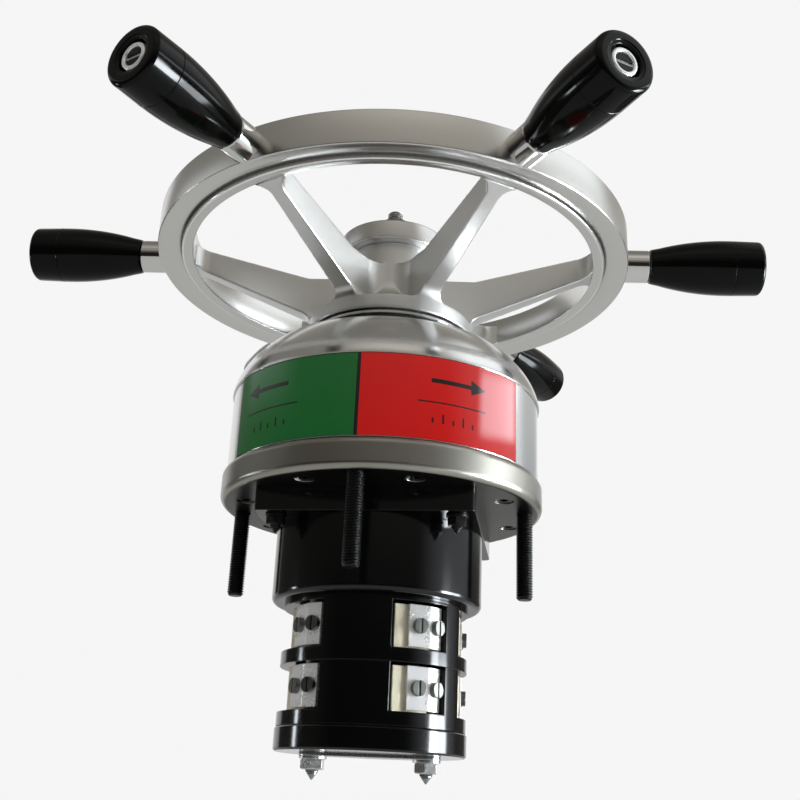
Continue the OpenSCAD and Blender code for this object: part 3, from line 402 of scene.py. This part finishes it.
dress(film("green_film", (0.006, 0.125, 0.022)), "label_green")
dress(film("red_film", (0.66, 0.003, 0.0015)), "label_red")
black_film = film("black_film", (0.008, 0.008, 0.008))
dress(black_film, "label_strip")

mark_r = 78.09
marks = bmesh.new()


def curved_mark(slices):
    rows = []
    for x, low, high in slices:
        angle = math.radians(270) + x / mark_r
        rows.append([marks.verts.new((mark_r * mm * math.cos(angle), mark_r * mm * math.sin(angle), z * mm))
                     for z in (low, high)])
    for a, b in zip(rows, rows[1:]):
        if (a[0].co - a[1].co).length > 1e-6 or (b[0].co - b[1].co).length > 1e-6:
            marks.faces.new((a[0], b[0], b[1], a[1]))


arrow_z, shaft_half, head_half, head_long = 43.2, 1.0, 3.6, 8
line_low, line_high, line_long = 32.6, 33.2, 34
tick_low, tick_short, tick_tall, tick_half = 23.2, 25.6, 27.6, 0.4
for way, start in ((-1, -29.0), (1, 27.0)):
    curved_mark([(x, line_low, line_high) for x in steps_between(start, start + way * line_long, 16)])
    tail, head = start + way * 6, start + way * 26
    curved_mark([(x, arrow_z - shaft_half, arrow_z + shaft_half) for x in steps_between(tail, head, 10)])
    curved_mark([(head + way * s, arrow_z - head_half * (1 - s / head_long),
                  arrow_z + head_half * (1 - s / head_long)) for s in steps_between(0, head_long, 6)])
    for k in range(5):
        at = start + way * (7 + 5 * k)
        curved_mark([(x, tick_low, tick_tall if k % 2 else tick_short)
                     for x in steps_between(at - tick_half, at + tick_half, 2)])
make_piece("label_marks", marks, black_film, "housing", "black_label")

# Wheel
# One aluminium casting: six plain spokes that narrow outward, and a hub with a flared skirt and a neck.
# It was fettled, blasted and lacquered, so its edges are soft. The rim is turned afterwards, with crisp
# edges, a hollow in each face and a raised lip along its inside.
cast_aluminium = new_finish("cast_aluminium", (0.67, 0.67, 0.655), 1.0, 0.34, grain=1400, depth=0.012,
                            mottle=0.07, spread=0.12, edge_mm=0.5)
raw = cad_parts["wheel"].data.copy()
casting = bpy.data.objects.new("wheel_casting", raw)
scene.collection.objects.link(casting)
bpy.context.view_layer.objects.active = casting
raw.remesh_voxel_size = 0.6 * mm
raw.remesh_voxel_adaptivity = 0.0
raw.use_remesh_preserve_volume = True
with bpy.context.temp_override(active_object=casting, object=casting, selected_objects=[casting]):
    bpy.ops.object.voxel_remesh()
soft = bmesh.new()
soft.from_mesh(casting.data)
bpy.data.objects.remove(casting)
soft_passes = 3
for _ in range(soft_passes):
    bmesh.ops.smooth_vert(soft, verts=soft.verts, factor=0.5,
                          use_axis_x=True, use_axis_y=True, use_axis_z=True)

# The casting is cut inside the rim, and what is still joined to the hub is kept.
cut_r = 106.9 * mm
bmesh.ops.delete(soft, geom=[v for v in soft.verts if v.co.xy.length > cut_r], context="VERTS")
joined = {min(soft.verts, key=lambda v: v.co.xy.length)}
grown = list(joined)
while grown:
    near = {e.other_vert(v) for v in grown for e in v.link_edges} - joined
    joined |= near
    grown = list(near)
bmesh.ops.delete(soft, geom=[v for v in soft.verts if v not in joined], context="VERTS")
bmesh.ops.holes_fill(soft, edges=[e for e in soft.edges if e.is_boundary], sides=0)
spider = make_piece("wheel_spider", soft, cast_aluminium, "steering", "cast_aluminium", "wheel", sharp=0)
slim = spider.modifiers.new("slim", "DECIMATE")
slim.ratio = 0.4

# One face of the rim from the outer corner inward, as (radius, depth, rounding). The other mirrors it.
rim_colour = (0.67, 0.665, 0.645)
rim_aluminium = new_finish("rim_aluminium", rim_colour, 1.0, 0.24, grain=900, depth=0.004,
                           mottle=0.06, spread=0.08, edge_mm=0.25, rings=0.004)
rim_low, rim_top, rim_r, rim_lip_r, rim_inside_r = 132.8, 150.6, 125, 112.75, 106.6
hollow_r, hollow_wide, hollow_deep = 123.6, 10.8, 2.6
rim_face = [(rim_r, 0.0, 0.7)]
rim_face += [(hollow_r - hollow_wide * t, hollow_deep * t * t, 0) for t in steps_between(0, 1, 14)]
rim_face += [(rim_lip_r, 0.0, 1.0), (rim_inside_r + 0.4, 0.9, 0.6), (rim_inside_r, 2.2, 0)]
rim_outline = [(x, rim_low + z, r) for x, z, r in rim_face]
rim_outline += [(x, rim_top - z, r) for x, z, r in reversed(rim_face)]
rim = bmesh.new()
turned(rim, rounded(rim_outline, 5), steps=240)
make_piece("wheel_rim", rim, rim_aluminium, "steering", "cast_aluminium", sharp=30.0)

# A ramp across the radius paints the rim's colour: a painted highlight along the lip's rounded edge, and
# painted shade in the hollow's inner corner beside it.
painted_light_from, painted_light_to = 110 * mm, 115 * mm
tree = rim_aluminium.node_tree
x, y, _ = split(tree, object_point(tree))
across = put(tree, "ShaderNodeMapRange", {"Value": axis_reach(tree, x, y), "From Min": painted_light_from,
                                          "From Max": painted_light_to})
painted_light_ramp = put(tree, "ShaderNodeValToRGB", {0: across.outputs[0]})
# The bright stops are the painted highlight on the lip, the dark stops the painted shade in the corner.
for at, level in ((0.30, 0.67), (0.38, 0.93), (0.53, 0.93), (0.56, 0.16), (0.60, 0.16), (0.66, 0.60)):
    stop = painted_light_ramp.color_ramp.elements.new(at)
    stop.color = (level, 0.99 * level, 0.97 * level, 1.0)
for end in (0, -1):
    painted_light_ramp.color_ramp.elements[end].color = (*rim_colour, 1.0)
tree.links.new(painted_light_ramp.outputs[0], tree.nodes["surface"].inputs["Colour"])

# Cap, washer and nut on the hub
# A turned aluminium cap sits on the neck of the hub, with a raised seat in the middle.
# A steel washer and a hexagon nut on the shaft's thread press it down.
turned_aluminium = new_finish("turned_aluminium", (0.66, 0.655, 0.64), 1.0, 0.26, grain=600, depth=0.004,
                              mottle=0.06, spread=0.08, rings=0.006)
cap_r, seat_r, shaft_end_r = 29, 11, 4.03
cap_low, cap_top, seat_top = 140.5, 151.7, 157.5
hub_cap = bmesh.new()
turned(hub_cap, rounded([
    (shaft_end_r, cap_low, 0), (cap_r, cap_low, 1.2), (cap_r, cap_top, 1.8), (seat_r, cap_top, 1.2),
    (seat_r, seat_top, 0.7), (shaft_end_r, seat_top, 0.2)]))
make_piece("hub_cap_turned", hub_cap, turned_aluminium, "steering", "turned_aluminium", "hub_cap", sharp=40.0)
dress(stainless, "hub_washer")


def nut_mesh(work, flats, bore, low, high, place=Matrix.Identity(4), steps=72):
    # Both faces are turned down to a circle inside the flats, so the corners slope away at 30 degrees.
    round_r = 0.475 * flats
    rows = [[] for _ in range(6)]
    for k in range(steps):
        angle = math.tau * k / steps
        reach = flats / 2 / math.cos((angle + math.pi / 6) % (math.pi / 3) - math.pi / 6)
        drop = max(0.0, reach - round_r) * math.tan(math.radians(30))
        profile = ((bore, low), (round_r, low), (reach, low + drop), (reach, high - drop), (round_r, high),
                   (bore, high))
        for row, (r, z) in zip(rows, profile):
            corner = Vector((r * mm * math.cos(angle), r * mm * math.sin(angle), z * mm))
            row.append(work.verts.new(place @ corner))
    for a, b in zip(rows, rows[1:] + rows[:1]):
        for k in range(steps):
            work.faces.new((a[k], a[(k + 1) % steps], b[(k + 1) % steps], b[k]))


hub_nut = bmesh.new()
nut_mesh(hub_nut, flats=13, bore=shaft_end_r, low=159.1, high=165.5)
make_piece("hub_nut_hex", hub_nut, dark_steel, "steering", "dark_steel", "hub_nut", sharp=25.0)

# Ferrules and spindles
# A polished steel sleeve stands between the rim and each grip. A steel spindle runs through it into the rim,
# and its slotted head keeps the grip on. The head's lip is coloured whiter than steel as a painted highlight,
# and black discs over its face darken the centre round the slot as painted shade.
polished_steel = new_finish("polished_steel", (0.70, 0.695, 0.68), 1.0, 0.09, grain=900, depth=0.002,
                            mottle=0.05, spread=0.05, edge_mm=0.3)
dress(polished_steel, "handle_ferrules")
handle_count, first_handle, handle_z = 6, 6, 141.7 * mm
handle_places = [
    Matrix.Rotation(math.radians(first_handle + 360 / handle_count * i), 4, "Z")
    @ Matrix.Translation((0, 0, handle_z)) @ Matrix.Rotation(math.pi / 2, 4, "Y") for i in range(handle_count)]
spindle_r, head_r, disc_r, slot_half = 4, 6.5, 4.25, 0.85
spindle_low, head_low, head_top, head_floor = 112.1, 193, 196, 194.4
spindle_outline = rounded([
    (0, spindle_low, 0), (spindle_r, spindle_low, 0.5), (spindle_r, head_low, 0), (head_r, head_low, 0.3),
    (head_r, head_top, 0.9), (4.6, head_top, 0.7), (4.3, head_floor, 0), (0, head_floor, 0)], 5)
half_disc = [Vector((max(disc_r * math.cos(a), slot_half), disc_r * math.sin(a)))
             for a in steps_between(-1.33, 1.33, 14)]
spindles = bmesh.new()
slots = bmesh.new()
for place in handle_places:
    turned(spindles, spindle_outline, place, 48)
    for turn in (math.pi, 0.0):
        half_place = place @ Matrix.Rotation(turn, 4, "Z")
        rows = [[slots.verts.new(half_place @ Vector((p.x * mm, p.y * mm, z * mm))) for p in half_disc]
                for z in (head_floor - 0.1, head_floor + 0.9)]
        slots.faces.new(rows[1])
        for k in range(len(half_disc)):
            j = (k + 1) % len(half_disc)
            slots.faces.new((rows[0][k], rows[0][j], rows[1][j], rows[1][k]))
# The lip is whiter and less metallic than the steel: a painted highlight.
lip_highlight_steel = new_finish("lip_highlight_steel", (0.93, 0.93, 0.91), 0.7, 0.30, grain=900, depth=0.002, mottle=0.05)
make_piece("spindle_lips", spindles, lip_highlight_steel, "steering", "polished_steel", "handle_spindles")
# Black discs cover the head's face round the slot: painted shade.
make_piece("spindle_slots", slots, black_steel, "steering", "black_steel")

# Grips
# Six handles turned from black resin and polished, in two parts with a fine joint near the outer end.
# Each turns freely on its spindle between the ferrule and the spindle's head.
black_grip = new_finish("black_grip", (0.0022, 0.0025, 0.0022), 0.0, 0.11, grain=700, depth=0.003, mottle=0.5,
                        spread=0.05, edge_mm=0.2, Specular_IOR_Level=0.14)
grip_start, grip_long, grip_bore_r, recess_r, recess_x = 137.9 * mm, 59, 4.05, 7.5, 54.6
small_r, belly_r, belly_x, flare_x, flare_r = 9.0, 14.7, 40.0, 5.0, 10.1
belly_arc = ((belly_x - flare_x) ** 2 + (belly_r - flare_r) ** 2) / (2 * (belly_r - flare_r))
belly_sweep = math.asin((belly_x - flare_x) / belly_arc)
belly = [(belly_r - belly_arc * (1 - math.cos(a)), belly_x - belly_arc * math.sin(a))
         for a in steps_between(belly_sweep, 0, 22)]
flare = [(grip_bore_r, 0), (small_r - 0.3, 0), (small_r, 0.3), (small_r + 0.3, 1.2), (9.7, 3.0)]
joint = [(14.68, 43.2), (14.44, 43.4), (14.44, 43.6), (14.66, 43.8)]
grip_outline = [Vector(p) for p in flare + belly + joint]
grip_outline += rounded([
    (14.64, 45, 0), (14.3, grip_long, 4.6), (9.4, grip_long, 0.4), (9.0, grip_long - 0.3, 0.3),
    (recess_r, grip_long - 0.5, 0.7), (recess_r, recess_x, 0.3), (grip_bore_r, recess_x, 0)], 12)
for i, place in enumerate(handle_places):
    grip = bmesh.new()
    turned(grip, grip_outline, place @ Matrix.Translation((0, 0, grip_start)), 96)
    make_piece(f"grip_{i + 1}_turned", grip, black_grip, f"grip_{i + 1}", "black_grip", f"grip_{i + 1}")

# Switch plate and drum
# A square plate of black phenolic resin hangs below the panel on four screws with nuts.
# The moulded drum under it covers the coupling, and its gloss comes from the mould.
black_phenolic = new_finish("black_phenolic", (0.0022, 0.0024, 0.0026), 0.0, 0.13, grain=420, depth=0.005,
                            mottle=0.7, spread=0.06, edge_mm=0.7, Specular_IOR_Level=0.45)
dress(black_phenolic, "switch_base_plate", "switch_drum")
plate_screw_x = 42
screw_steel = black_steel.copy()
screw_steel.name = "screw_steel"
add_thread(screw_steel, axis=(plate_screw_x, plate_screw_x), pitch=0.8, low=-40, high=-11, depth=0.35)
dress(screw_steel, "plate_screws")
plate_z, washer_z, nut_z, washer_r, nut_bore_r = -11.3, -12.3, -16.3, 5, 2.53
washer_outline = rounded([(nut_bore_r, washer_z, 0), (washer_r, washer_z, 0.2), (washer_r, plate_z, 0.2),
                          (nut_bore_r, plate_z, 0)], 3)
plate_nuts = bmesh.new()
for x in (-plate_screw_x, plate_screw_x):
    for y in (-plate_screw_x, plate_screw_x):
        nut_place = Matrix.Translation((x * mm, y * mm, 0))
        nut_mesh(plate_nuts, flats=8, bore=nut_bore_r, low=nut_z, high=washer_z, place=nut_place)
        turned(plate_nuts, washer_outline, nut_place, 48)
make_piece("plate_nuts_hex", plate_nuts, black_steel, "housing", "black_steel", "plate_nuts", sharp=25.0)

# Coupling, switch spindle and cams
# The shaft's tongue drives a slotted steel coupling, which turns a square spindle.
# Two brown phenolic cams on the spindle work the contacts in the tiers.
brown_phenolic = new_finish("brown_phenolic", (0.13, 0.055, 0.022), 0.0, 0.42, grain=800, depth=0.02,
                            mottle=0.5, spread=0.2)
dress(dark_steel, "shaft_coupling")
dress(stainless, "switch_spindle")
dress(brown_phenolic, "contact_cams")

# Contact tiers and terminals
# Two black phenolic drums with windows hold the fixed contacts, above a cap. In each window a brass plate
# carries a bent nickel clamp, and two slotted screws clamp the wires. The screws are coloured dark steel:
# painted shade round their heads.
brass_plate = new_finish("brass_plate", (0.80, 0.73, 0.56), 0.8, 0.33, grain=900, depth=0.01, mottle=0.3,
                         spread=0.2)
nickel = new_finish("nickel", (0.88, 0.875, 0.86), 0.55, 0.28, grain=1000, depth=0.006, mottle=0.12,
                    spread=0.15)
dress(black_phenolic, "upper_tier", "lower_tier", "bottom_cap")
dress(brass_plate, "terminal_plates")
dress(nickel, "terminal_clamps")
# Dark steel on the terminal screws is painted shade.
dress(dark_steel, "terminal_screws")

# Tie rods, strap and nuts
# Two plated steel rods run through the tiers and clamp them against the plate.
# Their pointed ends stand below a zinc-plated strap with washers and hexagon nuts.
zinc_steel = new_finish("zinc_steel", (0.74, 0.745, 0.74), 1.0, 0.28, grain=1100, depth=0.008, mottle=0.25,
                        spread=0.2)
rod_steel = new_finish("rod_steel", (0.30, 0.305, 0.30), 1.0, 0.30, grain=1100, depth=0.008, mottle=0.25)
rod_x = 26.5
add_thread(rod_steel, axis=(rod_x, 0), pitch=1.0, low=-123, high=-113, depth=0.4)
dress(rod_steel, "tie_rods")
dress(zinc_steel, "end_strap", "rod_washers")
rod_nuts = bmesh.new()
for x in (-rod_x, rod_x):
    nut_mesh(rod_nuts, flats=10.02, bore=3.03, low=-121.0, high=-116.2,
             place=Matrix.Translation((x * mm, 0, 0)))
make_piece("rod_nuts_hex", rod_nuts, zinc_steel, "housing", "zinc_steel", "rod_nuts", sharp=25.0)

# Studio
# A pale floor lies below the helm, and a tall soft light stands to its right. A grey tent in front and
# above, darkest where the camera is, carries painted windows and lamps and shows only in reflections.
# The white room is open behind.
floor_r, floor_z, floor_sides = 6, -0.55, 64
floor = bpy.data.meshes.new("floor")
ring = [(floor_r * math.cos(a), floor_r * math.sin(a), floor_z)
        for a in steps_between(0, math.tau, floor_sides)[:-1]]
floor.from_pydata(ring, [], [list(range(floor_sides))])
paper = bpy.data.materials.new("floor_paper")
paper.use_nodes = True
paper_shader = paper.node_tree.nodes["Principled BSDF"]
paper_shader.inputs["Base Color"].default_value = (0.72, 0.72, 0.71, 1.0)
paper_shader.inputs["Roughness"].default_value = 0.9
floor.materials.append(paper)
floor_piece = bpy.data.objects.new("floor", floor)
scene.collection.objects.link(floor_piece)

# The tent's own X axis points to the camera, and its Y axis to the right of the picture.
view_turn = math.radians(-80.4)
tent_cloth = bpy.data.materials.new("tent_cloth")
tent_cloth.use_nodes = True
tree = tent_cloth.node_tree
tree.nodes.remove(tree.nodes["Principled BSDF"])
direction = put(tree, "ShaderNodeVectorMath", {0: object_point(tree)}, operation="NORMALIZE").outputs[0]
toward, right, up = split(tree, direction)
aside = calc(tree, "MULTIPLY", calc(tree, "ARCTAN2", right, toward), math.degrees(1))
height = calc(tree, "MULTIPLY", calc(tree, "ARCSINE", up), math.degrees(1))


def ramp(value, start, end, low=0.0, high=1.0):
    return put(tree, "ShaderNodeMapRange", {"Value": value, "From Min": start, "From Max": end, "To Min": low,
                                            "To Max": high}, interpolation_type="SMOOTHSTEP").outputs[0]


def band(value, start, full, fade, end):
    return calc(tree, "MULTIPLY", ramp(value, start, full), ramp(value, fade, end, 1.0, 0.0))


# The cloth brightens upward in three steps in front and in one at the sides, and dims overhead and left.
front = calc(tree, "ADD", ramp(height, 5, 17, 0.02, 0.18), ramp(height, 18, 27, 0.0, 0.24))
front = calc(tree, "ADD", front, ramp(height, 37, 46, 0.0, 0.28))
sides = ramp(height, 13, 27, 0.13, 0.36)
level = put(tree, "ShaderNodeMix", {0: ramp(toward, 0.30, 0.75), 2: sides, 3: front}).outputs[0]
level = calc(tree, "MULTIPLY", level, ramp(height, 56, 76, 1.0, 0.65))
level = calc(tree, "MULTIPLY", level, ramp(right, -0.9, 0.2, 0.6, 1.0))

# Each light has a strength and two bands in degrees, aside and in height: start, full, fade and end.
lights = (
    (0.55, (40, 68, 104, 122), (-18, -10, 26, 36)),  # broad window on the right
    (1.05, (40, 68, 104, 122), (28, 38, 50, 74)),  # its upper half
    (0.35, (104, 112, 150, 160), (10, 16, 22, 30)),  # pale band behind it
    (6.0, (66, 74, 101, 109), (18.5, 19.5, 22.5, 24)),  # narrow strip across it
    (80.0, (72, 74, 83, 84.5), (-22, -19, -6, 10)),  # low lamp that shines in the grips
    (22.0, (84, 85.5, 97, 100), (-18, -16, 2, 7)),  # low lamp that streaks the switch
    (0.6, (-125, -110, -90, -60), (19, 24, 28, 34)),  # pale band on the left
    (18.0, (-102, -100.5, -97.5, -96), (-4, -2, 4, 6)),  # small lamp on the left
)
windows = 0.0
for strength, angles, heights in lights:
    lit = calc(tree, "MULTIPLY", band(aside, *angles), band(height, *heights))
    windows = calc(tree, "ADD", calc(tree, "MULTIPLY", lit, strength), windows)
cloth = put(tree, "ShaderNodeEmission", {"Color": (1.0, 0.95, 0.86, 1.0), "Strength": level})
daylight = put(tree, "ShaderNodeEmission", {"Color": (0.88, 0.94, 1.0, 1.0), "Strength": windows})
glow = put(tree, "ShaderNodeAddShader", {0: cloth.outputs[0], 1: daylight.outputs[0]})
tree.links.new(glow.outputs[0], tree.nodes["Material Output"].inputs["Surface"])


def on_sphere(radius, angle, rise):
    angle, rise = math.radians(angle), math.radians(rise)
    return (radius * math.cos(angle) * math.cos(rise), radius * math.sin(angle) * math.cos(rise),
            radius * math.sin(rise))


tent_r, tent_top, tent_columns, tent_rows = 1.7, 89, 40, 20
tent = bmesh.new()
for first, last, low in ((-135, 150, -18), (150, 225, 52)):
    rows = [[tent.verts.new(on_sphere(tent_r, angle, rise))
             for angle in steps_between(first, last, tent_columns)]
            for rise in steps_between(low, tent_top, tent_rows)]
    for a, b in zip(rows, rows[1:]):
        for k in range(tent_columns):
            tent.faces.new((a[k], a[k + 1], b[k + 1], b[k]))
tent_mesh = bpy.data.meshes.new("tent")
tent.to_mesh(tent_mesh)
tent.free()
tent_mesh.materials.append(tent_cloth)
tent_piece = bpy.data.objects.new("tent", tent_mesh)
tent_piece.rotation_euler = (0, 0, view_turn)
tent_piece.visible_camera = False
tent_piece.visible_diffuse = False
tent_piece.visible_shadow = False
scene.collection.objects.link(tent_piece)

lamp_turn, lamp_away = view_turn + math.radians(91), 1.5
lamp = bpy.data.lights.new("light_right", "AREA")
lamp.shape = "RECTANGLE"
lamp.size = 0.95
lamp.size_y = 1.3
lamp.energy = 11.0
lamp.color = (0.90, 0.95, 1.0)
lamp_piece = bpy.data.objects.new("light_right", lamp)
lamp_piece.location = lamp_away * Vector((math.cos(lamp_turn), math.sin(lamp_turn), 0.0))
lamp_piece.rotation_euler = lamp_piece.location.to_track_quat("Z", "Y").to_euler()
lamp_piece.visible_glossy = False
scene.collection.objects.link(lamp_piece)

# The room lights the helm, and looks brighter to the camera and in reflections.
room_level, room_extra = 0.70, 0.22
world = bpy.data.worlds.new("studio")
scene.world = world
world.use_nodes = True
sky = world.node_tree
room = sky.nodes["Background"]
room.inputs["Color"].default_value = (1.0, 1.0, 1.0, 1.0)
path = put(sky, "ShaderNodeLightPath").outputs
seen = calc(sky, "MAXIMUM", calc(sky, "MAXIMUM", path["Is Camera Ray"], path["Is Glossy Ray"]),
            path["Is Transmission Ray"])
sky.links.new(calc(sky, "ADD", calc(sky, "MULTIPLY", seen, room_extra), room_level), room.inputs["Strength"])

bpy.context.view_layer.update()
